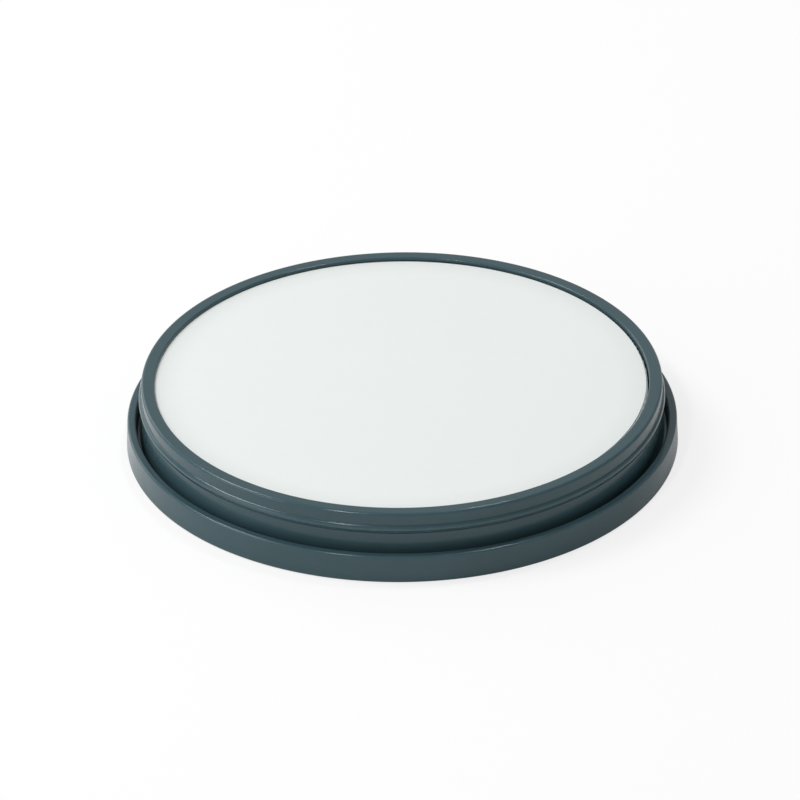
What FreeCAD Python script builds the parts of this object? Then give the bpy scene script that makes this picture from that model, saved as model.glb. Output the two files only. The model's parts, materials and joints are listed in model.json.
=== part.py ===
"""A round wet palette for model painting, in millimetres.

A moulded dish stands on its foot ring. Its neck has a flat rim and a low bead that a push-on lid
snaps over, with a fine groove under the bead, and a lip stands round the neck with a gutter between
them. A sponge pad fills the dish, and a sheet of palette paper lies on the sponge, just below the
rim. The origin is the middle of the foot, and +Z is up.
"""
import FreeCAD, Part
import Sketcher
import os

# Driving sizes: name, value and what it measures.
SIZES = (
    ("neck_diameter", 103.9, "outside of the neck, which a lid pushes over"),
    ("neck_wall", 2.7, "neck, from its outside to the well inside it"),
    ("neck_height", 8.13, "rim above the top of the lip"),
    ("rim_outer_round", 0.6, "rounding of the rim towards the outside"),
    ("rim_inner_round", 0.35, "rounding of the rim towards the well"),
    ("bead_height", 1.55, "snap bead, from its lower to its upper edge"),
    ("bead_projection", 0.5, "snap bead beyond the neck"),
    ("bead_drop", 3.35, "middle of the snap bead below the rim"),
    ("undercut_height", 0.34, "fine groove right under the snap bead, from edge to edge"),
    ("undercut_depth", 0.14, "how far that groove goes into the neck"),
    ("gutter_width", 1.1, "gap between the neck and the lip"),
    ("gutter_web", 2.5, "bottom of the gutter above the foot"),
    ("gutter_corner", 0.4, "rounding in the two corners of the gutter"),
    ("lip_wall", 1.75, "top of the lip, from its outside to the gutter"),
    ("lip_height", 5.82, "top of the lip above the foot"),
    ("lip_spread", 0.2, "how much further out the lip's wall stands at the foot than at its top"),
    ("lip_round", 0.45, "rounding of both edges of the lip's top"),
    ("foot_round", 0.5, "rounding of the outer edge of the foot"),
    ("foot_width", 6.0, "foot ring, from its outer edge to the recess inside it"),
    ("foot_height", 0.8, "depth of the recess inside the foot ring"),
    ("recess_round", 0.4, "rounding of the recess's two edges"),
    ("floor_thickness", 1.6, "floor of the well"),
    ("floor_corner", 1.0, "rounding where the well's wall meets its floor"),
    ("ejector_diameter", 5.0, "round mark of one ejector pin on the floor of the well"),
    ("ejector_depth", 0.1, "depth of an ejector mark"),
    ("ejector_circle", 70.0, "circle through the middles of the ejector marks"),
    ("ejector_count", 6, "ejector marks in the circle"),
    ("gate_diameter", 7.0, "dimple round the moulding gate, under the floor"),
    ("gate_depth", 0.4, "depth of the gate dimple"),
    ("gate_stub_diameter", 1.8, "stub left where the moulding was cut from its gate"),
    ("gate_stub_height", 0.25, "height of the gate stub"),
    ("sponge_clearance", 0.4, "gap between the sponge and the well's wall"),
    ("sponge_waist", 0.4, "how far the cut side of the sponge draws in at half height"),
    ("sponge_edge", 0.4, "rounding of the sponge's upper edge"),
    ("paper_clearance", 0.3, "gap between the paper and the well's wall"),
    ("paper_thickness", 0.15, "palette paper"),
    ("paper_drop", 0.75, "top of the paper below the rim"),
)

# Radii and levels that follow from the driving sizes: name and formula.
PLACES = (
    ("neck_radius", "Sizes.neck_diameter / 2"),
    ("well_radius", "neck_radius - Sizes.neck_wall"),
    ("lip_inner_radius", "neck_radius + Sizes.gutter_width"),
    ("lip_top_radius", "lip_inner_radius + Sizes.lip_wall"),
    ("foot_radius", "lip_top_radius + Sizes.lip_spread"),
    ("foot_inner_radius", "foot_radius - Sizes.foot_width"),
    ("rim_top", "Sizes.lip_height + Sizes.neck_height"),
    ("floor_top", "Sizes.foot_height + Sizes.floor_thickness"),
    ("bead_root_radius", "neck_radius - Sizes.neck_wall / 2"),
    ("bead_middle", "rim_top - Sizes.bead_drop"),
    ("bead_bottom", "bead_middle - Sizes.bead_height / 2"),
    ("bead_top", "bead_middle + Sizes.bead_height / 2"),
    ("bead_crest_radius", "neck_radius + Sizes.bead_projection"),
    ("undercut_bottom", "bead_bottom - Sizes.undercut_height"),
    ("undercut_middle", "bead_bottom - Sizes.undercut_height / 2"),
    ("undercut_radius", "neck_radius - Sizes.undercut_depth"),
    ("gate_roof", "Sizes.foot_height + Sizes.gate_depth"),
    ("ejector_radius", "Sizes.ejector_circle / 2"),
    ("sponge_radius", "well_radius - Sizes.sponge_clearance"),
    ("sponge_top", "rim_top - Sizes.paper_drop - Sizes.paper_thickness"),
    ("sponge_height", "sponge_top - floor_top"),
    ("sponge_waist_radius", "sponge_radius - Sizes.sponge_waist"),
    ("paper_radius", "well_radius - Sizes.paper_clearance"),
)

# Two lengths closer than this are the same.
SAME = 1e-4
FULL_TURN = 360
# A rounding takes at most this share of the wall or gap that carries two of them.
WALL_SHARE = 0.45
# A sketch's own numbers: its axes, its origin, and the points of an edge or circle.
FIRST_AXIS_INDEX, SECOND_AXIS_INDEX = -1, -2
ORIGIN = (-1, 1)
START_INDEX, END_INDEX, MIDDLE_INDEX = 1, 2, 3

doc = FreeCAD.newDocument("wet_palette")


def add_sheet(name, rows):
    """A spreadsheet with a name, a value or formula and a note in each row."""
    sheet = doc.addObject("Spreadsheet::Sheet", name)
    for line, (alias, content, *note) in enumerate(rows, start=1):
        sheet.set(f"A{line}", alias)
        sheet.set(f"B{line}", str(content))
        sheet.setAlias(f"B{line}", alias)
        sheet.set(f"C{line}", " ".join(note))
    doc.recompute()
    return sheet


sizes = add_sheet("Sizes", SIZES)
places = add_sheet("Places", [(name, "=" + formula) for name, formula in PLACES])


def value(expression):
    """The number that an expression on the two sheets has now."""
    return float(places.evalExpression(expression))


def add_body(name):
    """A piece: its label is the name of its file."""
    body = doc.addObject("PartDesign::Body", name)
    body.Label = name
    return body


def origin_of(body, role):
    """One of a body's own origin planes or axes."""
    return next(f for f in body.Origin.OriginFeatures if f.Role == role)


def add_sketch(body, name, plane, level=None):
    """An empty sketch on an origin plane, raised to a level if one is given."""
    sketch = body.newObject("Sketcher::SketchObject", name)
    sketch.AttachmentSupport = [(origin_of(body, plane), "")]
    sketch.MapMode = "FlatFace"
    if level:
        sketch.setExpression("AttachmentOffset.Base.z", level)
    return sketch


def bind(sketch, kind, geometry, expression):
    """A dimension of a sketch that follows an expression."""
    index = sketch.addConstraint(Sketcher.Constraint(kind, *geometry, value(expression)))
    sketch.setExpression(f"Constraints[{index}]", expression)


def pin_corner(sketch, edge, end, along, up):
    """Hold the end of an edge at its distances from the sketch's origin; 0 puts it on an axis."""
    across = ("DistanceX", along, SECOND_AXIS_INDEX)
    upwards = ("DistanceY", up, FIRST_AXIS_INDEX)
    for kind, expression, axis in (across, upwards):
        if expression == "0":
            sketch.addConstraint(Sketcher.Constraint("PointOnObject", edge, end, axis))
        else:
            bind(sketch, kind, (*ORIGIN, edge, end), expression)


def draw_outline(sketch, corners, bulges=None):
    """A closed outline through corners, each a pair of expressions.

    The side that leaves a corner is straight, or an arc through the point that bulges gives for
    that corner's number.
    """
    bulges = bulges or {}
    points = [FreeCAD.Vector(value(x), value(y), 0) for x, y in corners]
    ends = []
    for i, start in enumerate(points):
        stop = points[(i + 1) % len(points)]
        if i in bulges:
            crest = FreeCAD.Vector(*(value(e) for e in bulges[i]), 0)
            edge = sketch.addGeometry(Part.Arc(start, crest, stop))
        else:
            edge = sketch.addGeometry(Part.LineSegment(start, stop))
        forward = (sketch.getPoint(edge, START_INDEX) - start).Length < SAME
        points_at = (START_INDEX, END_INDEX) if forward else (END_INDEX, START_INDEX)
        ends.append((edge, *points_at))
    for i, (x, y) in enumerate(corners):
        edge, first, _ = ends[i]
        before, _, last = ends[i - 1]
        sketch.addConstraint(Sketcher.Constraint("Coincident", before, last, edge, first))
        pin_corner(sketch, edge, first, x, y)
    for i, (crest, _) in bulges.items():
        reach = f"({crest} - {corners[i][0]})"
        rise = f"({corners[i + 1][1]} - {corners[i][1]})"
        bend = f"abs(({rise} ^ 2 / 4 + {reach} ^ 2) / (2 * {reach}))"
        bind(sketch, "Radius", (ends[i][0],), bend)


def draw_circle(sketch, diameter, along="0"):
    """A circle on the sketch's first axis."""
    middle = FreeCAD.Vector(value(along), 0, 0)
    circle = sketch.addGeometry(Part.Circle(middle, FreeCAD.Vector(0, 0, 1), value(diameter) / 2))
    bind(sketch, "Diameter", (circle,), diameter)
    pin_corner(sketch, circle, MIDDLE_INDEX, along, "0")


def must_change(body, volume, sign):
    """Stop if the last feature neither added nor cut, as its sign says."""
    doc.recompute()
    if sign * (body.Shape.Volume - volume) <= 0:
        raise RuntimeError(f"{body.Tip.Label} leaves {body.Label} as it was")


def turn(body, name, corners, bulges=None):
    """Turn an outline of radii and levels round the upright axis."""
    before = body.Shape.Volume if body.Tip else 0
    sketch = add_sketch(body, name + "_outline", "XZ_Plane")
    draw_outline(sketch, corners, bulges)
    turned = body.newObject("PartDesign::Revolution", name)
    turned.Profile = sketch
    turned.ReferenceAxis = (sketch, ["V_Axis"])
    turned.Angle = FULL_TURN
    must_change(body, before, 1)


def raise_or_sink(body, kind, name, sketch, depth, downwards):
    """A Pad or a Pocket from a sketch, upwards or downwards."""
    before = body.Shape.Volume if body.Tip else 0
    feature = body.newObject("PartDesign::" + kind, name)
    feature.Profile = sketch
    feature.setExpression("Length", depth)
    feature.Reversed = downwards if kind == "Pad" else not downwards
    must_change(body, before, 1 if kind == "Pad" else -1)
    return feature


def round_edges(body, name, radius, *rings):
    """Round the circular edges that lie at the given radii and levels."""
    base = body.Tip
    wanted = [(value(r), value(level)) for r, level in rings]
    found = []
    for number, edge in enumerate(base.Shape.Edges, start=1):
        curve = edge.Curve
        if not isinstance(curve, Part.Circle):
            continue
        for r, level in wanted:
            if abs(curve.Radius - r) < SAME and abs(curve.Center.z - level) < SAME:
                found.append(f"Edge{number}")
    if len(found) != len(wanted):
        raise RuntimeError(f"{name} finds {len(found)} of {len(wanted)} edges")
    fillet = body.newObject("PartDesign::Fillet", name)
    fillet.Base = (base, found)
    fillet.setExpression("Radius", radius)
    doc.recompute()


def make_dish():
    """The moulded dish: floor, neck with rim and bead, gutter, lip and foot ring."""
    dish = add_body("palette_dish")
    turn(dish, "dish_wall", [
        ("0", "Sizes.foot_height"),
        ("Places.foot_inner_radius", "Sizes.foot_height"),
        ("Places.foot_inner_radius", "0"),
        ("Places.foot_radius", "0"),
        ("Places.lip_top_radius", "Sizes.lip_height"),
        ("Places.lip_inner_radius", "Sizes.lip_height"),
        ("Places.lip_inner_radius", "Sizes.gutter_web"),
        ("Places.neck_radius", "Sizes.gutter_web"),
        ("Places.neck_radius", "Places.undercut_bottom"),
        ("Places.neck_radius", "Places.bead_bottom"),
        ("Places.neck_radius", "Places.rim_top"),
        ("Places.well_radius", "Places.rim_top"),
        ("Places.well_radius", "Places.floor_top"),
        ("0", "Places.floor_top"),
    ], {8: ("Places.undercut_radius", "Places.undercut_middle")})
    turn(dish, "snap_bead", [
        ("Places.bead_root_radius", "Places.bead_bottom"),
        ("Places.neck_radius", "Places.bead_bottom"),
        ("Places.neck_radius", "Places.bead_top"),
        ("Places.bead_root_radius", "Places.bead_top"),
    ], {1: ("Places.bead_crest_radius", "Places.bead_middle")})
    round_dish(dish)
    mark_dish(dish)
    return dish


def round_dish(dish):
    """Roundings of the dish, each no larger than its wall or gap allows."""
    neck_limit = f"Sizes.neck_wall * {WALL_SHARE}"
    round_edges(dish, "rim_outside", f"min(Sizes.rim_outer_round; {neck_limit})",
                ("Places.neck_radius", "Places.rim_top"))
    round_edges(dish, "rim_inside", f"min(Sizes.rim_inner_round; {neck_limit})",
                ("Places.well_radius", "Places.rim_top"))
    round_edges(dish, "lip_edges", f"min(Sizes.lip_round; Sizes.lip_wall * {WALL_SHARE})",
                ("Places.lip_top_radius", "Sizes.lip_height"),
                ("Places.lip_inner_radius", "Sizes.lip_height"))
    round_edges(dish, "gutter_corners",
                f"min(Sizes.gutter_corner; Sizes.gutter_width * {WALL_SHARE})",
                ("Places.lip_inner_radius", "Sizes.gutter_web"),
                ("Places.neck_radius", "Sizes.gutter_web"))
    round_edges(dish, "foot_edge", "Sizes.foot_round", ("Places.foot_radius", "0"))
    round_edges(dish, "recess_edges",
                f"min(Sizes.recess_round; Sizes.foot_height * {WALL_SHARE})",
                ("Places.foot_inner_radius", "0"),
                ("Places.foot_inner_radius", "Sizes.foot_height"))
    round_edges(dish, "well_corner", "Sizes.floor_corner", ("Places.well_radius", "Places.floor_top"))


def mark_dish(dish):
    """What moulding leaves: ejector marks on the well's floor, and the gate under it."""
    pin_mark = add_sketch(dish, "ejector_circle", "XY_Plane", "Places.floor_top")
    draw_circle(pin_mark, "Sizes.ejector_diameter", "Places.ejector_radius")
    pocket = raise_or_sink(dish, "Pocket", "ejector_mark", pin_mark, "Sizes.ejector_depth", True)

    ring = dish.newObject("PartDesign::PolarPattern", "ejector_marks")
    before = dish.Shape.Volume
    ring.Originals = [pocket]
    ring.Axis = (origin_of(dish, "Z_Axis"), [""])
    ring.Angle = FULL_TURN
    ring.setExpression("Occurrences", "Sizes.ejector_count")
    dish.Tip = ring
    must_change(dish, before, -1)

    dimple = add_sketch(dish, "gate_circle", "XY_Plane", "Sizes.foot_height")
    draw_circle(dimple, "Sizes.gate_diameter")
    raise_or_sink(dish, "Pocket", "gate_dimple", dimple, "Sizes.gate_depth", False)

    stub = add_sketch(dish, "gate_stub_circle", "XY_Plane", "Places.gate_roof")
    draw_circle(stub, "Sizes.gate_stub_diameter")
    raise_or_sink(dish, "Pad", "gate_stub", stub, "Sizes.gate_stub_height", True)


def make_sponge():
    """The sponge pad: a die-cut disc, flat on both faces, whose cut side draws in a little."""
    sponge = add_body("sponge_pad")
    sponge.setExpression("Placement.Base.z", "Places.floor_top")
    turn(sponge, "pad", [
        ("0", "0"),
        ("Places.sponge_radius", "0"),
        ("Places.sponge_radius", "Places.sponge_height"),
        ("0", "Places.sponge_height"),
    ], {1: ("Places.sponge_waist_radius", "Places.sponge_height / 2")})
    round_edges(sponge, "upper_edge", "Sizes.sponge_edge",
                ("Places.sponge_radius", "Places.sponge_height"))
    # The lower edge follows the well's corner, which it has to clear.
    round_edges(sponge, "lower_edge", "Sizes.floor_corner", ("Places.sponge_radius", "0"))
    return sponge


def make_paper():
    """The palette paper: a thin round sheet that lies flat on the sponge."""
    paper = add_body("palette_paper")
    paper.setExpression("Placement.Base.z", "Places.sponge_top")
    outline = add_sketch(paper, "paper_circle", "XY_Plane")
    draw_circle(outline, "Places.paper_radius * 2")
    raise_or_sink(paper, "Pad", "paper_sheet", outline, "Sizes.paper_thickness", False)
    return paper


pieces = [make_dish(), make_sponge(), make_paper()]
doc.recompute()

for item in doc.Objects:
    if {"Invalid", "Error"} & set(item.State):
        raise RuntimeError(f"{item.Label} failed: {item.State}")
for piece in pieces:
    if piece.Shape.isNull() or not piece.Shape.isValid():
        raise RuntimeError(f"{piece.Label} has no valid shape")

os.makedirs("parts", exist_ok=True)
for piece in pieces:
    piece.Shape.exportStep(f"parts/{piece.Label}.step")
    box = piece.Shape.optimalBoundingBox(False, False)
    print(f"{piece.Label}: {len(piece.Shape.Solids)} solid, {piece.Shape.Volume:.1f} mm3, "
          f"{box.XLength:.2f} x {box.YLength:.2f} mm, z {box.ZMin:.2f} to {box.ZMax:.2f}")
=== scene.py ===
# %% [markdown]
# # A round wet palette
# A wet palette keeps hobby paint workable. A damp sponge lies in a shallow dish, a sheet of palette
# paper lies on the sponge, and water comes up through the paper to the paint on it. The CAD model
# gives this lesson three solids at their real size: the dish, the sponge and the paper. Each of them
# gets a finer mesh and a finish here, in the same place, and the CAD solids themselves stay as they
# are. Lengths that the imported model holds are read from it. The others are in millimetres, as a
# mould maker writes them.

import json
import math

import bmesh
import bpy
from mathutils import Matrix, Vector


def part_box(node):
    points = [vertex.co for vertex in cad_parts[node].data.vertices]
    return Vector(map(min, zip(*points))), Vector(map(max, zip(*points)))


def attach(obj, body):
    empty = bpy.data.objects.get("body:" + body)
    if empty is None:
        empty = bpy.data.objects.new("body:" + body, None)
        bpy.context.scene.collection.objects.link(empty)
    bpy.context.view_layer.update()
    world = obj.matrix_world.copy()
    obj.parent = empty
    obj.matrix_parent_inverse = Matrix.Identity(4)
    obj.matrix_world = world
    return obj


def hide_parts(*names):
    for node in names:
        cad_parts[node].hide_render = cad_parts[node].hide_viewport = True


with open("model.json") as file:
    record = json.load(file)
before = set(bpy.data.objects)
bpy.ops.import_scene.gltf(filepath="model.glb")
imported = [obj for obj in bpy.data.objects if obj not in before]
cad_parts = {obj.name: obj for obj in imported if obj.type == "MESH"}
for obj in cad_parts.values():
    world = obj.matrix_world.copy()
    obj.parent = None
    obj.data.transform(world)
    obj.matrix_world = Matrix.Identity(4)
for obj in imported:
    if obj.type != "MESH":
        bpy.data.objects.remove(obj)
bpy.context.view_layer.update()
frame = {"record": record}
MM = 0.001

_, dish_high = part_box("palette_dish")
sponge_low, sponge_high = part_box("sponge_pad")
_, paper_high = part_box("palette_paper")
lid_neck = next(m for m in frame["record"]["mounts"] if m["name"] == "lid_neck")

RIM_TOP = dish_high.z / MM
FLOOR_TOP = sponge_low.z / MM
NECK_RADIUS = lid_neck["dims"]["r_mm"]
SPONGE_RADIUS = sponge_high.x / MM
SPONGE_TOP = sponge_high.z / MM
PAPER_RADIUS = paper_high.x / MM
PAPER_THICKNESS = paper_high.z / MM - SPONGE_TOP
print(f"rim {RIM_TOP:.2f} mm high, neck {NECK_RADIUS * 2:.1f} mm across, paper {PAPER_RADIUS * 2:.1f} mm")

# %% [markdown]
# ## Nodes written as sums
# Blender makes shapes with Geometry Nodes and finishes with shader nodes. Both could be drawn by
# hand, but a script that places every Math node is hard to read. So one small class, Wire, stands for
# a socket's output and turns a Python sum into Math nodes.

# %% Wires
class Wire:
    """The output of a node, which takes part in sums."""

    def __init__(self, tree, socket):
        self.tree = tree
        self.socket = socket

    def out(self, name):
        """Another output of the same node."""
        return Wire(self.tree, shown(self.socket.node.outputs, name))

    def __add__(self, other):
        return self.tree.function("ADD", self, other)

    def __sub__(self, other):
        return self.tree.function("SUBTRACT", self, other)

    def __rsub__(self, other):
        return self.tree.function("SUBTRACT", other, self)

    def __mul__(self, other):
        return self.tree.function("MULTIPLY", self, other)

    def __truediv__(self, other):
        return self.tree.function("DIVIDE", self, other)

    def __rtruediv__(self, other):
        return self.tree.function("DIVIDE", other, self)

    def __pow__(self, other):
        return self.tree.function("POWER", self, other)

    def __mod__(self, other):
        return self.tree.function("MODULO", self, other)

    __radd__ = __add__
    __rmul__ = __mul__


# %% [markdown]
# Tree.add makes any other node from its kind, its settings and its sockets. Settings come first,
# because many nodes only show the sockets that their settings call for. A few short methods stand for
# the nodes that come up again and again.

# %% Trees
def shown(sockets, key):
    """A socket by its number, or the one of that name that the node's settings show."""
    if isinstance(key, int):
        return sockets[key]
    return next(s for s in sockets if s.name == key and s.enabled)


def length(x, y):
    """How far a point lies off the origin."""
    return (x * x + y * y) ** 0.5


class Tree:
    """A node tree, built one node at a time."""

    def __init__(self, title, tree):
        self.title = title
        self.tree = tree

    def add(self, kind, settings=None, sockets=None):
        """A node of that kind. Its first shown output comes back."""
        node = self.tree.nodes.new(kind)
        for name, choice in (settings or {}).items():
            setattr(node, name, choice)
        for key, given in (sockets or {}).items():
            socket = shown(node.inputs, key)
            for one in given if isinstance(given, list) else [given]:
                if isinstance(one, Wire):
                    self.tree.links.new(one.socket, socket)
                else:
                    socket.default_value = one
        return next((Wire(self, s) for s in node.outputs if s.enabled), node)

    def function(self, operation, *values):
        """A Math node."""
        return self.add("ShaderNodeMath", {"operation": operation}, dict(enumerate(values)))

    def between(self, value, low, high):
        """0 below low, 1 above high, and a smooth step in between."""
        return self.add(
            "ShaderNodeMapRange",
            {"interpolation_type": "SMOOTHSTEP"},
            {"Value": value, "From Min": low, "From Max": high},
        )

    def vector(self, x, y, z):
        """A vector of three numbers."""
        return self.add("ShaderNodeCombineXYZ", None, {"X": x, "Y": y, "Z": z})

    def split(self, vector):
        """The three numbers of a vector."""
        x = self.add("ShaderNodeSeparateXYZ", None, {"Vector": vector})
        return x, x.out("Y"), x.out("Z")

    def report(self):
        """Print how large the tree has become."""
        print(f"{self.title}: {len(self.tree.nodes)} nodes")


# %% [markdown]
# A shape tree has named inputs for its sizes. A modifier keeps them under each socket's identifier,
# so run_tree looks those up, and sets them before Blender first works the tree out. It then keeps the
# result as a plain mesh, because the export reads meshes and not modifiers.

# %% Shape trees
SOCKETS = {float: "NodeSocketFloat", int: "NodeSocketInt"}


def shape_tree(name, inputs):
    """A Geometry Nodes tree. Gives it, its geometry and a wire for each named input."""
    group = bpy.data.node_groups.new(name, "GeometryNodeTree")
    group.interface.new_socket("Geometry", in_out="INPUT", socket_type="NodeSocketGeometry")
    group.interface.new_socket("Geometry", in_out="OUTPUT", socket_type="NodeSocketGeometry")
    for title, kind in inputs.items():
        group.interface.new_socket(title, in_out="INPUT", socket_type=SOCKETS[kind])
    group.interface.new_socket("Finish", in_out="INPUT", socket_type="NodeSocketMaterial")
    tree = Tree(name, group)
    entry = tree.add("NodeGroupInput")
    return tree, entry, {title: entry.out(title) for title in [*inputs, "Finish"]}


def end_tree(tree, geometry, finish):
    """Realize what was instanced, set its finish and send it out of the tree."""
    solid = tree.add("GeometryNodeRealizeInstances", None, {"Geometry": geometry})
    dressed = tree.add("GeometryNodeSetMaterial", None, {"Geometry": solid, "Material": finish})
    tree.add("NodeGroupOutput", None, {"Geometry": dressed})
    tree.report()


def stored(tree, geometry, name, value):
    """Keep a number with each point, as an attribute that a finish can read."""
    return tree.add(
        "GeometryNodeStoreNamedAttribute",
        {"data_type": "FLOAT", "domain": "POINT"},
        {"Geometry": geometry, "Name": name, "Value": value},
    )


# %% Plain meshes
SAME_PLACE = 1e-6
SHARP_FROM, NEVER_SHARP = 40, 180


def keep_mesh(obj):
    """Make obj's modifiers part of its mesh."""
    evaluated = obj.evaluated_get(bpy.context.evaluated_depsgraph_get())
    mesh = bpy.data.meshes.new_from_object(evaluated)
    obj.modifiers.clear()
    obj.data = mesh


def run_tree(obj, tree, sizes):
    """Run a shape tree on obj with the given sizes and keep the mesh that it makes."""
    modifier = obj.modifiers.new(tree.title, "NODES")
    modifier.node_group = tree.tree
    for item in tree.tree.interface.items_tree:
        if item.in_out == "INPUT" and item.name in sizes:
            modifier[item.identifier] = sizes[item.name]
    keep_mesh(obj)


def close_mesh(obj, sharp_from):
    """Merge doubles, turn all faces outwards, and shade smooth below an angle in degrees."""
    work = bmesh.new()
    work.from_mesh(obj.data)
    bmesh.ops.remove_doubles(work, verts=work.verts, dist=SAME_PLACE)
    bmesh.ops.recalc_face_normals(work, faces=work.faces)
    open_edges = sum(not edge.is_manifold for edge in work.edges)
    volume = work.calc_volume(signed=True) / MM**3
    work.to_mesh(obj.data)
    work.free()
    obj.data.shade_smooth()
    obj.data.set_sharp_from_angle(angle=math.radians(sharp_from))
    triangles = sum(len(face.vertices) - 2 for face in obj.data.polygons)
    print(f"{obj.name}: {triangles} triangles, {open_edges} open edges, {volume:.0f} mm3")


# %% [markdown]
# ## The dish's outline
# The dish is one moulding, round all over, so one half-section says nearly everything about it. From
# the edge of the well's floor it runs up the well's wall, over the rim, down the neck and its bead,
# through the gutter, over the lip and back under the foot to the middle. A polygon with a rounding at
# each corner is how a draughtsman gives such a section. The roundings matter most: on a smooth
# moulding they carry the thin lines of light that tell the eye where an edge is. A short step beside
# each rounding keeps its shading off the flat walls.

# %% Roundings
ARC_STEP, FEWEST_STEPS = math.radians(9), 3
FLAT_STEP = 0.07
SHORTEST_FLAT = 6 * FLAT_STEP


def arc(centre, radius, start, sweep):
    """Points on an arc, each with how far it lies from the arc's ends."""
    steps = max(FEWEST_STEPS, math.ceil(abs(sweep) / ARC_STEP))
    for i in range(steps + 1):
        angle = start + sweep * i / steps
        yield (
            centre.x + radius * math.cos(angle),
            centre.y + radius * math.sin(angle),
            math.sin(math.pi * i / steps),
        )


def round_corner(before, corner, after, rounding):
    """The arc in one corner. On an edge that stands out its third number rises to 1."""
    here = Vector(corner)
    back = (Vector(before) - here).normalized()
    on = (Vector(after) - here).normalized()
    half = back.angle(on) / 2
    centre = here + (back + on).normalized() * rounding / math.sin(half)
    first = here + back * rounding / math.tan(half) - centre
    turn = math.copysign(math.pi - 2 * half, on.cross(back))
    stands_out = turn < 0
    for x, y, edge in arc(centre, rounding, math.atan2(first.y, first.x), turn):
        yield x, y, edge if stands_out else 0.0


# %% Outlines
def outline(corners):
    """Points along (radius, level, rounding) corners, as radius, level and edge."""
    points = []
    for i, (x, y, rounding) in enumerate(corners):
        if rounding:
            points += round_corner(corners[i - 1][:2], (x, y), corners[i + 1][:2], rounding)
        else:
            points.append((x, y, 0.0))
    return points


def ease_flats(points):
    """Add a point close to each end of a straight run."""
    eased = [points[0]]
    for a, b in zip(points, points[1:]):
        run = Vector(b[:2]) - Vector(a[:2])
        if run.length > SHORTEST_FLAT:
            step = run.normalized() * FLAT_STEP
            eased.append((a[0] + step.x, a[1] + step.y, 0.0))
            eased.append((b[0] - step.x, b[1] - step.y, 0.0))
        eased.append(b)
    return eased


# %% [markdown]
# The bead is a low round ridge that a lid snaps over. In the mould it is a groove turned with a round
# tool, so its section is an arc. A small fillet leads into it from the neck above, and a fine groove
# runs right under it, which shows as a dark line all round the neck.

# %% The bead
BEAD_HEIGHT, BEAD_PROJECTION, BEAD_DROP, BEAD_FILLET = 1.55, 0.5, 3.35, 0.12
UNDERCUT_HEIGHT, UNDERCUT_DEPTH = 0.34, 0.14


def bend_of(height, reach):
    """The radius of an arc of that height that reaches that far off a straight wall."""
    return ((height / 2) ** 2 + reach**2) / (2 * reach)


def bead_points():
    """The bead and its undercut, from the fillet above downwards."""
    middle = RIM_TOP - BEAD_DROP
    bend = bend_of(BEAD_HEIGHT, BEAD_PROJECTION)
    inset = bend - BEAD_PROJECTION
    rise = math.sqrt((bend + BEAD_FILLET) ** 2 - (inset + BEAD_FILLET) ** 2)
    lean = math.atan2(rise, inset + BEAD_FILLET)
    fillet = Vector((NECK_RADIUS + BEAD_FILLET, middle + rise))
    ridge = Vector((NECK_RADIUS - inset, middle))
    hollow_bend = bend_of(UNDERCUT_HEIGHT, UNDERCUT_DEPTH)
    half = math.asin(UNDERCUT_HEIGHT / 2 / hollow_bend)
    hollow_level = middle - (BEAD_HEIGHT + UNDERCUT_HEIGHT) / 2
    hollow = Vector((NECK_RADIUS - UNDERCUT_DEPTH + hollow_bend, hollow_level))
    points = [(x, y, 0.0) for x, y, _ in arc(fillet, BEAD_FILLET, math.pi, lean)]
    points += list(arc(ridge, bend, lean, -lean - math.acos(inset / bend)))[1:-1]
    points += [(x, y, 0.0) for x, y, _ in arc(hollow, hollow_bend, math.pi - half, 2 * half)]
    return points


bead = bead_points()
print(f"bead: {len(bead)} points, crest at {max(x for x, _, _ in bead):.2f} mm")

# %% The dish's section
NECK_WALL = 2.7
RIM_OUTER_ROUND, RIM_INNER_ROUND = 0.6, 0.35
GUTTER_WIDTH, GUTTER_WEB, GUTTER_CORNER = 1.1, 2.5, 0.4
LIP_WALL, LIP_HEIGHT, LIP_SPREAD, LIP_ROUND = 1.75, 5.82, 0.2, 0.45
FOOT_WIDTH, FOOT_HEIGHT, FOOT_ROUND, RECESS_ROUND = 6.0, 0.8, 0.5, 0.36
FLOOR_CORNER, FLOOR_EDGE = 1.0, 46.0
GATE_RADIUS, GATE_DEPTH, STUB_RADIUS, STUB_HEIGHT, GATE_ROUND = 3.5, 0.4, 0.9, 0.25, 0.08

WELL_RADIUS = NECK_RADIUS - NECK_WALL
LIP_INNER = NECK_RADIUS + GUTTER_WIDTH
LIP_TOP = LIP_INNER + LIP_WALL
FOOT = LIP_TOP + LIP_SPREAD
RECESS = FOOT - FOOT_WIDTH
GATE_ROOF = FOOT_HEIGHT + GATE_DEPTH
STUB_END = GATE_ROOF - STUB_HEIGHT

above_bead = outline([
    (FLOOR_EDGE, FLOOR_TOP, 0),
    (WELL_RADIUS, FLOOR_TOP, FLOOR_CORNER),
    (WELL_RADIUS, RIM_TOP, RIM_INNER_ROUND),
    (NECK_RADIUS, RIM_TOP, RIM_OUTER_ROUND),
    (NECK_RADIUS, LIP_HEIGHT, 0),
])[:-1]
below_bead = outline([
    (NECK_RADIUS, LIP_HEIGHT, 0),
    (NECK_RADIUS, GUTTER_WEB, GUTTER_CORNER),
    (LIP_INNER, GUTTER_WEB, GUTTER_CORNER),
    (LIP_INNER, LIP_HEIGHT, LIP_ROUND),
    (LIP_TOP, LIP_HEIGHT, LIP_ROUND),
    (FOOT, 0, FOOT_ROUND),
    (RECESS, 0, RECESS_ROUND),
    (RECESS, FOOT_HEIGHT, RECESS_ROUND),
    (GATE_RADIUS, FOOT_HEIGHT, GATE_ROUND),
    (GATE_RADIUS, GATE_ROOF, GATE_ROUND),
    (STUB_RADIUS, GATE_ROOF, GATE_ROUND),
    (STUB_RADIUS, STUB_END, GATE_ROUND),
    (0, STUB_END, 0),
])[1:]
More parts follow.
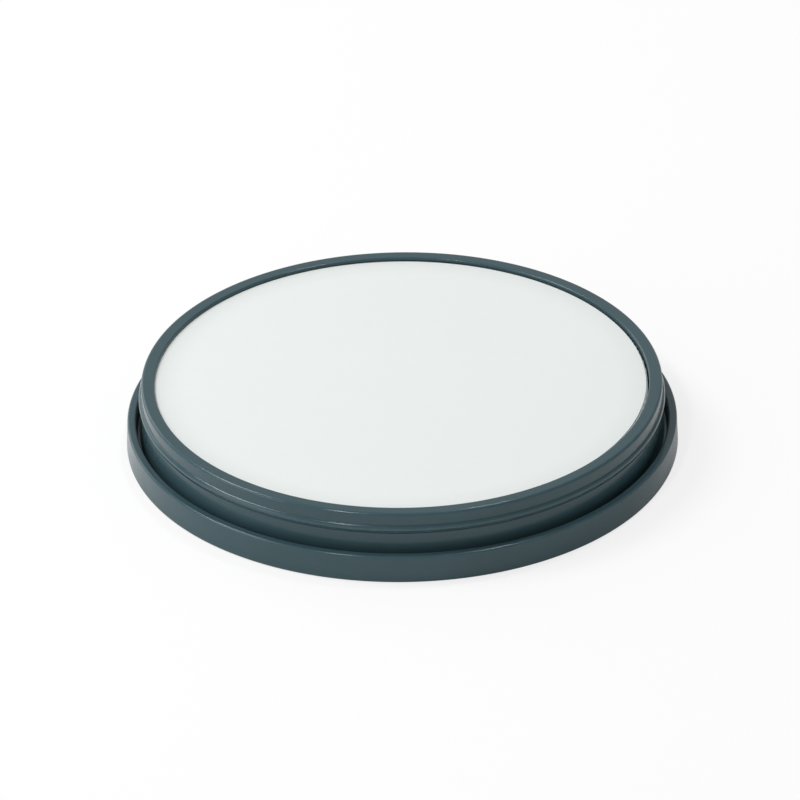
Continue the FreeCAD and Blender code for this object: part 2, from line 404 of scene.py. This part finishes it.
dish_section = ease_flats(above_bead + bead + below_bead)
print(f"dish section: {len(dish_section)} points, foot {FOOT * 2:.2f} mm across")

# %% [markdown]
# ## Turning an outline
# A lathe turns one outline round an axis. Blender has a Screw modifier and a Spin operator for that,
# but a node tree keeps the rule in sight: a plain grid has one column for each step round the axis
# and one row for each point of the outline, and Set Position moves every grid point to its radius,
# angle and level. The outline's edge number rides along as an attribute, and the finish uses it later
# to polish the edges that stand out and to paint a highlight along them. Merge by Distance closes the
# seam and the pole.

# %% Outline objects
def place_object(name, data):
    """An object at the origin, in the scene."""
    obj = bpy.data.objects.new(name, data)
    bpy.context.scene.collection.objects.link(obj)
    return obj


def outline_object(name, section):
    """An object whose points are an outline, with its edge numbers as an attribute."""
    mesh = bpy.data.meshes.new(name)
    mesh.from_pydata([(x * MM, 0, y * MM) for x, y, _ in section], [], [])
    mesh.attributes.new("edge", "FLOAT", "POINT").data.foreach_set("value", [e for _, _, e in section])
    return place_object(name, mesh)


# %% The lathe
def turned(tree, profile, steps):
    """Turn the points of a profile round the upright axis in that many steps."""
    size = tree.add("GeometryNodeAttributeDomainSize", None, {"Geometry": profile})
    grid = tree.add("GeometryNodeMeshGrid", None, {"Vertices X": steps + 1, "Vertices Y": size})
    number = tree.add("GeometryNodeInputIndex")
    row = number % size
    column = tree.function("FLOOR", (number + 0.5) / size)
    angle = column / steps * math.tau

    def sampled(kind, value):
        return tree.add(
            "GeometryNodeSampleIndex",
            {"data_type": kind, "domain": "POINT"},
            {"Geometry": profile, "Value": value, "Index": row},
        )

    place = tree.add("GeometryNodeInputPosition")
    radius, _, level = tree.split(sampled("FLOAT_VECTOR", place))
    edge = tree.add("GeometryNodeInputNamedAttribute", {"data_type": "FLOAT"}, {"Name": "edge"})
    marked = stored(tree, grid, "edge", sampled("FLOAT", edge))
    round_place = tree.vector(
        radius * tree.function("COSINE", angle), radius * tree.function("SINE", angle), level
    )
    lathe = tree.add("GeometryNodeSetPosition", None, {"Geometry": marked, "Position": round_place})
    return tree.add("GeometryNodeMergeByDistance", None, {"Geometry": lathe, "Distance": SAME_PLACE})


# %% [markdown]
# ## The floor of the well
# Pins push a fresh moulding out of its mould, and each leaves a shallow round mark. Six of them lie in
# a ring on the floor of the well. Boolean cuts could make them, but they leave long thin triangles.
# Here the floor is filled between its outer circle and six small ones, and a shallow cup is instanced
# on the same six points, so every edge meets exactly.

# %% Parts of the floor
MARK_STEPS = 48

dish_tree, outline_in, size = shape_tree(
    "moulded_dish",
    {"Steps": int, "Floor Radius": float, "Floor Level": float, "Mark Count": int,
     "Mark Circle": float, "Mark Radius": float, "Mark Depth": float},
)
mark_places = dish_tree.add(
    "GeometryNodeMeshCircle", None, {"Vertices": size["Mark Count"], "Radius": size["Mark Circle"]}
)


def circle_line(steps, radius):
    """A circle that a floor can be filled up to."""
    return dish_tree.add(
        "GeometryNodeCurvePrimitiveCircle", {"mode": "RADIUS"}, {"Resolution": steps, "Radius": radius}
    )


def at_marks(shape):
    """That shape in the place of each mark."""
    return dish_tree.add(
        "GeometryNodeInstanceOnPoints", None, {"Points": mark_places, "Instance": shape}
    )


def joined(first, second):
    """Two geometries as one."""
    return dish_tree.add("GeometryNodeJoinGeometry", None, {"Geometry": [first, second]})


# %% The dish tree
wall = turned(dish_tree, outline_in, size["Steps"])
floor_rim = circle_line(size["Steps"], size["Floor Radius"])
mark_rims = at_marks(circle_line(MARK_STEPS, size["Mark Radius"]))
mark_rims = dish_tree.add("GeometryNodeRealizeInstances", None, {"Geometry": mark_rims})
floor = dish_tree.add(
    "GeometryNodeFillCurve", {"mode": "TRIANGLES"}, {"Curve": joined(floor_rim, mark_rims)}
)
mark_face = dish_tree.add(
    "GeometryNodeMeshCircle",
    {"fill_type": "NGON"},
    {"Vertices": MARK_STEPS, "Radius": size["Mark Radius"]},
)
cup = dish_tree.add(
    "GeometryNodeExtrudeMesh",
    {"mode": "FACES"},
    {"Mesh": mark_face, "Offset": dish_tree.vector(0, 0, -1), "Offset Scale": size["Mark Depth"],
     "Individual": False},
)
raised_floor = dish_tree.add(
    "GeometryNodeTransform",
    None,
    {"Geometry": joined(floor, at_marks(cup)),
     "Translation": dish_tree.vector(0, 0, size["Floor Level"])},
)
end_tree(dish_tree, joined(wall, raised_floor), size["Finish"])

# %% [markdown]
# ## The plastic
# The dish is injection moulded in slate grey with some green-blue in it, and its finish is glossy:
# lamps show in its rounded edges as short glints, and the pale floor in its upright walls. One flat
# colour and one gloss would look like a computer model. A real moulding clouds a little where the
# plastic flowed, has a fine grain from the blasted mould, faint rings from the lathe that turned the
# mould, and edges that hands have polished glossier. The edges that stand out are also painted a
# lighter slate, in patches, as a painted highlight along them. All of these are small, so the noise
# patterns that make them are faint too. They are tied to Object coordinates, in metres, so their
# scales are real lengths.

# %% Finishes
def finish_tree(name):
    """An empty material, and the Object coordinates that its patterns use."""
    material = bpy.data.materials.new(name)
    material.use_nodes = True
    material.node_tree.nodes.clear()
    tree = Tree(name, material.node_tree)
    place = tree.add("ShaderNodeTexCoord").out("Object")
    return material, tree, place


def surface(tree, colour, roughness, normal, constants=None):
    """The shader that ends a finish. Constants are set on its own sockets."""
    sockets = {"Base Color": colour, "Roughness": roughness, "Normal": normal}
    shader = tree.add("ShaderNodeBsdfPrincipled", None, {**sockets, **(constants or {})})
    tree.add("ShaderNodeOutputMaterial", None, {"Surface": shader})
    tree.report()


# %% Patterns
def noise(tree, place, width, detail=2.0):
    """A soft random pattern from 0 to 1 whose blotches are about that many millimetres wide."""
    return tree.add(
        "ShaderNodeTexNoise", None, {"Vector": place, "Scale": 1 / (width * MM), "Detail": detail}
    )


def painted(tree, name):
    """A number that the mesh keeps with each point."""
    return tree.add("ShaderNodeAttribute", {"attribute_name": name}).out("Fac")


def mixed(tree, share, first, second):
    """A colour between two colours."""
    return tree.add(
        "ShaderNodeMix", {"data_type": "RGBA"}, {"Factor": share, "A": first, "B": second}
    )


def tinted(colour, factor):
    """A colour made lighter or darker, with full alpha."""
    return (*(min(1.0, c * factor) for c in colour), 1.0)


def relief(tree, height, depth, under=None):
    """A bump of that depth in millimetres, on top of another one if it is given."""
    sockets = {"Height": height, "Distance": depth * MM, "Strength": 1.0}
    if under:
        sockets["Normal"] = under
    return tree.add("ShaderNodeBump", None, sockets)


# %% Slate plastic
SLATE = (0.041, 0.082, 0.096)
SLATE_ROUGHNESS, SLATE_IOR = 0.2, 1.4
CLOUD_WIDTH, CLOUD_TINT, CLOUD_ROUGHNESS = 14, 0.1, 0.1
GRAIN_WIDTH, GRAIN_DEPTH, GRAIN_ROUGHNESS = 0.16, 0.0008, 0.06
RING_WIDTH, RING_DEPTH, RING_CLIMB = 0.22, 0.0012, 1.3
WEAR_AND_HIGHLIGHT_WIDTH, WEAR_AND_HIGHLIGHT_FROM, WEAR_AND_HIGHLIGHT_TO = 3.5, 0.45, 0.7
LEAST_POLISH_AND_HIGHLIGHT, EDGE_HIGHLIGHT_SHARE, EDGE_HIGHLIGHT_TINT, POLISH_GLOSS = 0.55, 0.3, 1.9, 0.03

slate_plastic, tree, place = finish_tree("slate_plastic")
x, y, z = tree.split(place)
clouds = noise(tree, place, CLOUD_WIDTH, detail=4.0)
grain = noise(tree, place, GRAIN_WIDTH)
rings = tree.add(
    "ShaderNodeTexNoise",
    {"noise_dimensions": "1D"},
    {"W": (length(x, y) + z * RING_CLIMB) / (RING_WIDTH * MM), "Scale": 1.0, "Detail": 1.0},
)
wear_and_highlight_patches = tree.between(noise(tree, place, WEAR_AND_HIGHLIGHT_WIDTH, detail=5.0), WEAR_AND_HIGHLIGHT_FROM, WEAR_AND_HIGHLIGHT_TO)
polish_and_highlight = painted(tree, "edge") * (LEAST_POLISH_AND_HIGHLIGHT + wear_and_highlight_patches * (1 - LEAST_POLISH_AND_HIGHLIGHT))

colour = mixed(tree, clouds, tinted(SLATE, 1 - CLOUD_TINT), tinted(SLATE, 1 + CLOUD_TINT))
# Painted highlight: the edges that stand out are painted a lighter slate; the same mask also makes them
# glossier.
colour = mixed(tree, polish_and_highlight * EDGE_HIGHLIGHT_SHARE, colour, tinted(SLATE, EDGE_HIGHLIGHT_TINT))
roughness = SLATE_ROUGHNESS + (clouds - 0.5) * CLOUD_ROUGHNESS
roughness = roughness + (grain - 0.5) * GRAIN_ROUGHNESS - polish_and_highlight * POLISH_GLOSS
normal = relief(tree, grain, GRAIN_DEPTH)
normal = relief(tree, rings, RING_DEPTH, normal)
surface(tree, colour, roughness, normal, {"IOR": SLATE_IOR})

# %% [markdown]
# ## The dish
# The outline goes through the tree, and the result is one closed mesh in the CAD solid's place. The
# CAD node is then hidden.

# %% Make the dish
STEPS_ROUND = 360

dish = outline_object("palette_dish_moulding", dish_section)
run_tree(dish, dish_tree, {
    "Steps": STEPS_ROUND,
    "Floor Radius": FLOOR_EDGE * MM,
    "Floor Level": FLOOR_TOP * MM,
    "Mark Count": 6,
    "Mark Circle": 35.0 * MM,
    "Mark Radius": 2.5 * MM,
    "Mark Depth": 0.1 * MM,
    "Finish": slate_plastic,
})
close_mesh(dish, SHARP_FROM)
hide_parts("palette_dish")
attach(dish, "base")

# %% [markdown]
# ## The sponge
# The sponge is a die-cut disc of white foam whose side draws in a little, as foam does under a cutting
# die. Damp foam swells, here by 0.3 mm, until it all but fills the well. Pores of different sizes open
# on every face, apart from the upper edge, which the die presses shut. A bump alone would leave the
# outline of a lifted sponge smooth, so the pores are real hollows: the pad is turned like the dish,
# remeshed into small even faces, and a second tree pushes the points inwards wherever a Voronoi cell
# says that a pore opens. It also notes how deep each point went, and the finish paints shade into the
# pores by that. The finest cells are left to the finish, which gives them a bump and paints shade into
# their hollows.

# %% White foam
FOAM = (0.83, 0.86, 0.85)
FOAM_ROUGHNESS = 0.86
CELL_WIDTH, CELL_MIDDLE, CELL_WALL = 0.55, 0.12, 0.5
CELL_SHADE_SHARE, CELL_SHADE_TINT, CELL_DEPTH = 0.5, 0.72, 0.16
SOAKED_WIDTH, SOAKED_FROM, SOAKED_TO = 11, 0.4, 0.65
SOAKED_SHARE, SOAKED_TINT, SOAKED_GLOSS = 0.35, 0.9, 0.18
PORE_SHADE_SHARE, PORE_SHADE_TINT = 0.8, 0.45

white_foam, tree, place = finish_tree("white_foam")
cells = tree.add(
    "ShaderNodeTexVoronoi", None, {"Vector": place, "Scale": 1 / (CELL_WIDTH * MM), "Randomness": 1.0}
)
hollow = 1 - tree.between(cells, CELL_MIDDLE, CELL_WALL)
soaked = tree.between(noise(tree, place, SOAKED_WIDTH, detail=3.0), SOAKED_FROM, SOAKED_TO)
# Painted shade: the hollow of each fine cell is painted darker.
colour = mixed(tree, hollow * CELL_SHADE_SHARE, tinted(FOAM, 1.0), tinted(FOAM, CELL_SHADE_TINT))
colour = mixed(tree, soaked * SOAKED_SHARE, colour, tinted(FOAM, SOAKED_TINT))
# Painted shade: the pores are painted darker by how deep they go.
colour = mixed(tree, painted(tree, "pore") * PORE_SHADE_SHARE, colour, tinted(FOAM, PORE_SHADE_TINT))
normal = relief(tree, 1 - hollow, CELL_DEPTH)
surface(tree, colour, FOAM_ROUGHNESS - soaked * SOAKED_GLOSS, normal)

# %% The pad tree
pad_tree, pad_in, size = shape_tree("turned_pad", {"Steps": int})
end_tree(pad_tree, turned(pad_tree, pad_in, size["Steps"]), size["Finish"])

# %% How deep a pore goes
PORE_REACH, PORE_REACH_SPREAD = 0.16, 0.28
PORE_BOTTOM = 0.35
SHALLOWEST_PORE = 0.4


def pore_depth(tree, spacing, depth, shift):
    """How far the foam draws in, with one pore of its own size in each Voronoi cell."""
    place = tree.add("GeometryNodeInputPosition")
    moved = tree.add("ShaderNodeVectorMath", {"operation": "ADD"}, {0: place, 1: tree.vector(shift, 0, 0)})
    distance = tree.add(
        "ShaderNodeTexVoronoi", None, {"Vector": moved, "Scale": 1 / spacing, "Randomness": 1.0}
    )
    chance, _, _ = tree.split(distance.out("Color"))
    reach = PORE_REACH + chance * PORE_REACH_SPREAD
    share = SHALLOWEST_PORE + chance * (1 - SHALLOWEST_PORE)
    return (1 - tree.between(distance, reach * PORE_BOTTOM, reach)) * share * depth


# %% The pore tree
PORE_SHIFT, CELL_SHIFT = 0.37, 0.73

pore_tree, foam_in, size = shape_tree(
    "foam_pores",
    {"Pore Spacing": float, "Pore Depth": float, "Cell Spacing": float, "Cell Depth": float,
     "Edge Radius": float, "Edge Level": float, "Sealed Width": float, "Seed": int},
)
sink = pore_depth(pore_tree, size["Pore Spacing"], size["Pore Depth"], size["Seed"] * PORE_SHIFT)
sink = sink + pore_depth(pore_tree, size["Cell Spacing"], size["Cell Depth"], size["Seed"] * CELL_SHIFT)
x, y, z = pore_tree.split(pore_tree.add("GeometryNodeInputPosition"))
from_edge = length(length(x, y) - size["Edge Radius"], z - size["Edge Level"])
sink = sink * pore_tree.between(from_edge, size["Sealed Width"] / 2, size["Sealed Width"])
noted = stored(pore_tree, foam_in, "pore", sink / size["Pore Depth"])
inwards = pore_tree.add(
    "ShaderNodeVectorMath",
    {"operation": "SCALE"},
    {"Vector": pore_tree.add("GeometryNodeInputNormal"), "Scale": 0 - sink},
)
porous = pore_tree.add("GeometryNodeSetPosition", None, {"Geometry": noted, "Offset": inwards})
end_tree(pore_tree, porous, size["Finish"])

# %% Turn the pad
SPONGE_WAIST, WAIST_BEND = 0.4, 50.0
SPONGE_UPPER_EDGE = 0.12
SPONGE_SWELL = 0.3
FOAM_VOXEL = 0.46

SWOLLEN_RADIUS = SPONGE_RADIUS + SPONGE_SWELL
sponge_section = outline([
    (0, FLOOR_TOP, 0),
    (SWOLLEN_RADIUS, FLOOR_TOP, FLOOR_CORNER),
    (SWOLLEN_RADIUS - SPONGE_WAIST, (FLOOR_TOP + SPONGE_TOP) / 2, WAIST_BEND),
    (SWOLLEN_RADIUS, SPONGE_TOP, SPONGE_UPPER_EDGE),
    (0, SPONGE_TOP, 0),
])
sponge = outline_object("sponge_foam_pad", sponge_section)
run_tree(sponge, pad_tree, {"Steps": STEPS_ROUND, "Finish": white_foam})
close_mesh(sponge, NEVER_SHARP)
even = sponge.modifiers.new("even_faces", "REMESH")
even.mode = "VOXEL"
even.voxel_size = FOAM_VOXEL * MM
even.use_smooth_shade = True
keep_mesh(sponge)

# %% Open its pores
run_tree(sponge, pore_tree, {
    "Pore Spacing": 3.2 * MM,
    "Pore Depth": 1.0 * MM,
    "Cell Spacing": 1.7 * MM,
    "Cell Depth": 0.5 * MM,
    "Edge Radius": SWOLLEN_RADIUS * MM,
    "Edge Level": SPONGE_TOP * MM,
    "Sealed Width": 1.6 * MM,
    "Seed": 7,
    "Finish": white_foam,
})
close_mesh(sponge, NEVER_SHARP)
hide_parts("sponge_pad")
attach(sponge, "sponge")

# %% [markdown]
# ## The palette paper
# The paper is a round white sheet, 0.15 mm thick, that lies damp and flat on the sponge. It has 0.3 mm
# of play in the well, and here it lies to the left. A square grid that is bent into a disc gives even
# faces out to the edge, which a fan of triangles would not. Damp paper is never quite flat, so a very
# low, wide ripple lifts it off the sponge by a few hundredths of a millimetre, and Solidify gives it
# its thickness. Its colour clouds a little with the fibres, and it is painted a little darker towards
# the cut edge, as painted shade from the rim.

# %% White paper
PAPER = (0.82, 0.86, 0.845)
PAPER_ROUGHNESS = 0.68
FORMATION_WIDTH, FORMATION_TINT, FORMATION_DEPTH = 2.6, 0.018, 0.006
FIBRE_WIDTH, FIBRE_TINT, FIBRE_DEPTH, FIBRE_ROUGHNESS = 0.32, 0.985, 0.004, 0.1
DAMP_WIDTH, DAMP_FROM, DAMP_TO, DAMP_GLOSS = 26, 0.35, 0.7, 0.1
RIM_SHADE_WIDTH, RIM_SHADE_SHARE, RIM_SHADE_TINT = 6.0, 0.6, 0.9

white_paper, tree, place = finish_tree("white_paper")
x, y, _ = tree.split(place)
formation = noise(tree, place, FORMATION_WIDTH, detail=4.0)
fibres = noise(tree, place, FIBRE_WIDTH, detail=3.0)
damp = tree.between(noise(tree, place, DAMP_WIDTH), DAMP_FROM, DAMP_TO)
rim_shade = tree.between(length(x, y), (PAPER_RADIUS - RIM_SHADE_WIDTH) * MM, PAPER_RADIUS * MM)
colour = mixed(tree, formation, tinted(PAPER, 1 - FORMATION_TINT), tinted(PAPER, 1 + FORMATION_TINT))
colour = mixed(tree, fibres, colour, tinted(PAPER, FIBRE_TINT))
# Painted shade: the paper is painted darker towards its cut edge, where the rim shades it.
colour = mixed(tree, rim_shade * RIM_SHADE_SHARE, colour, tinted(PAPER, RIM_SHADE_TINT))
normal = relief(tree, fibres, FIBRE_DEPTH)
normal = relief(tree, formation, FORMATION_DEPTH, normal)
roughness = PAPER_ROUGHNESS - damp * DAMP_GLOSS + (fibres - 0.5) * FIBRE_ROUGHNESS
surface(tree, colour, roughness, normal)

# %% The paper tree
GRID_SIDE = 2.0

paper_tree, _, size = shape_tree(
    "laid_paper", {"Cells": int, "Radius": float, "Ripple": float, "Ripple Width": float, "Seed": int}
)
grid = paper_tree.add(
    "GeometryNodeMeshGrid",
    None,
    {"Size X": GRID_SIDE, "Size Y": GRID_SIDE, "Vertices X": size["Cells"], "Vertices Y": size["Cells"]},
)
x, y, _ = paper_tree.split(paper_tree.add("GeometryNodeInputPosition"))
disc_x = x * (1 - y * y / 2) ** 0.5 * size["Radius"]
disc_y = y * (1 - x * x / 2) ** 0.5 * size["Radius"]
lift = paper_tree.add(
    "ShaderNodeTexNoise",
    None,
    {"Vector": paper_tree.vector(disc_x, disc_y, size["Seed"]), "Scale": 1 / size["Ripple Width"],
     "Detail": 1.0},
)
sheet = paper_tree.add(
    "GeometryNodeSetPosition",
    None,
    {"Geometry": grid, "Position": paper_tree.vector(disc_x, disc_y, lift * size["Ripple"])},
)
end_tree(paper_tree, sheet, size["Finish"])

# %% Make the paper
PAPER_CELLS = 141
PAPER_SHIFT = -0.28
UPWARDS = 1

paper = place_object("palette_paper_sheet", bpy.data.meshes.new("palette_paper_sheet"))
run_tree(paper, paper_tree, {
    "Cells": PAPER_CELLS,
    "Radius": PAPER_RADIUS * MM,
    "Ripple": 0.1 * MM,
    "Ripple Width": 28 * MM,
    "Seed": 3,
    "Finish": white_paper,
})
paper.data.transform(Matrix.Translation((PAPER_SHIFT * MM, 0, SPONGE_TOP * MM)))
thick = paper.modifiers.new("thickness", "SOLIDIFY")
thick.thickness = PAPER_THICKNESS * MM
thick.offset = UPWARDS
keep_mesh(paper)
close_mesh(paper, SHARP_FROM)
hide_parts("palette_paper")
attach(paper, "paper")

# %% [markdown]
# ## The floor and the light
# The palette stands on a plain white floor, as on a product table. The floor lies 0.02 mm below the
# foot, because two faces in one plane would flicker through each other. A floor that is lit as the
# palette is renders a little grey, so for the camera most of it is mixed to plain white, and its
# shadow stays in the rest. Mirrored in the plastic it keeps more of its shadow, because a dark line
# round the foot is what shows that the dish stands on it.

# %% The floor
FLOOR_SIDE, FLOOR_DROP = 6.0, 0.02

half = FLOOR_SIDE / 2
floor_corners = [(-half, -half), (half, -half), (half, half), (-half, half)]
floor_mesh = bpy.data.meshes.new("white_floor")
floor_mesh.from_pydata([(x, y, -FLOOR_DROP * MM) for x, y in floor_corners], [], [(0, 1, 2, 3)])
white_floor = place_object("white_floor", floor_mesh)
print(f"floor {FLOOR_SIDE} m wide, {FLOOR_DROP} mm below the foot")

# %% Floor paint
WHITE = (1, 1, 1, 1)
FLOOR_WHITE = (0.96, 0.96, 0.96, 1.0)
SEEN_WHITE_SHARE = 0.75
MIRRORED_WHITE_SHARE = 0.15

floor_paint, tree, _ = finish_tree("floor_paint")
diffuse = tree.add("ShaderNodeBsdfDiffuse", None, {"Color": FLOOR_WHITE})
white = tree.add("ShaderNodeEmission", None, {"Color": WHITE, "Strength": 1.0})
ray = tree.add("ShaderNodeLightPath")
seen = tree.function("MAXIMUM", ray.out("Is Camera Ray"), ray.out("Is Transmission Ray"))
share = seen * SEEN_WHITE_SHARE + ray.out("Is Glossy Ray") * MIRRORED_WHITE_SHARE
shade = tree.add("ShaderNodeMixShader", None, {"Fac": share, 1: diffuse, 2: white})
tree.add("ShaderNodeOutputMaterial", None, {"Surface": shade})
floor_mesh.materials.append(floor_paint)
tree.report()

# %% [markdown]
# The main light is a softbox up to the left, small enough to leave clear glints on the rounded edges.
# A low fill on the left and a window and a wide sweep behind give the upright walls and the far rim
# something pale to mirror, and two small lamps overhead add short glints. Together they light a flat
# sheet at about the level at which its colour renders as it is written.

# %% The lights
LAMPS = {
    "softbox_left": {"towards": (-0.6, 0.14, 0.787), "distance": 1.1, "width": 0.4, "watts": 4.7},
    "fill_left": {"towards": (-0.9, -0.35, 0.3), "distance": 1.0, "width": 0.6, "watts": 1.9},
    "window_back_left": {"towards": (-0.62, 0.70, 0.4), "distance": 1.2, "width": 0.6, "watts": 2.0},
    "sweep_back": {"towards": (0, 0.862, 0.508), "distance": 1.5, "width": 1.5, "watts": 2.1},
    "lamp_front_left": {"towards": (-0.32, -0.5, 0.806), "distance": 1.2, "width": 0.12, "watts": 2.6},
    "lamp_right": {"towards": (0.194, 0.314, 0.929), "distance": 1.2, "width": 0.06, "watts": 2.0},
}
AMBIENT = 0.3


def lamp(name, towards, distance, width, watts):
    """A square light that faces the palette. Gives the light that it throws on a level sheet."""
    light = bpy.data.lights.new(name, "AREA")
    light.size = width
    light.energy = watts
    obj = place_object(name, light)
    direction = Vector(towards).normalized()
    obj.location = direction * distance
    obj.rotation_mode = "QUATERNION"
    obj.rotation_quaternion = direction.to_track_quat("Z", "Y")
    return direction.z * watts / (math.pi * distance) ** 2


level = AMBIENT + sum(lamp(name, **sizes) for name, sizes in LAMPS.items())
print(f"light on a level sheet: {level:.2f}")

# %% The studio
world = bpy.data.worlds.new("studio")
world.use_nodes = True
world.node_tree.nodes["Background"].inputs["Strength"].default_value = AMBIENT
world.node_tree.nodes["Background"].inputs["Color"].default_value = WHITE
bpy.context.scene.world = world
bpy.context.scene.view_settings.view_transform = "Standard"
print(f"{len(LAMPS)} lamps, and {AMBIENT} from all sides")

# %% [markdown]
# ## The camera
# The photograph looks down on the palette at about 31 degrees, through a long lens, from the front.
# The distance, the angle and a slight roll come from fitting the outlines of the rim, the lip and the
# paper to it.

# %% The camera
DISTANCE = 2.74
ELEVATION = math.radians(30.51)
ROLL = math.radians(0.66)
PIXELS, PIXELS_PER_MM, SENSOR = 800, 5.009, 36.0
AIM = Vector((-0.39, 0, 9.45)) * MM
NEAREST = 0.01

camera = bpy.data.cameras.new("camera")
camera.sensor_width = SENSOR
camera.lens = SENSOR * PIXELS_PER_MM / MM * DISTANCE / PIXELS
camera.clip_start = NEAREST
viewer = place_object("camera", camera)
viewer.location = (0, -DISTANCE * math.cos(ELEVATION), DISTANCE * math.sin(ELEVATION))
look = (AIM - viewer.location).to_track_quat("-Z", "Y").to_matrix().to_4x4()
viewer.matrix_world = Matrix.Translation(viewer.location) @ look @ Matrix.Rotation(-ROLL, 4, "Z")
bpy.context.scene.camera = viewer
print(f"lens {camera.lens:.1f} mm at {DISTANCE} m")

# %% [markdown]
# ## Size
# The dressed palette keeps the size of the CAD model. The last line brings the scene up to date.

# %% Bring the scene up to date
bpy.context.view_layer.update()
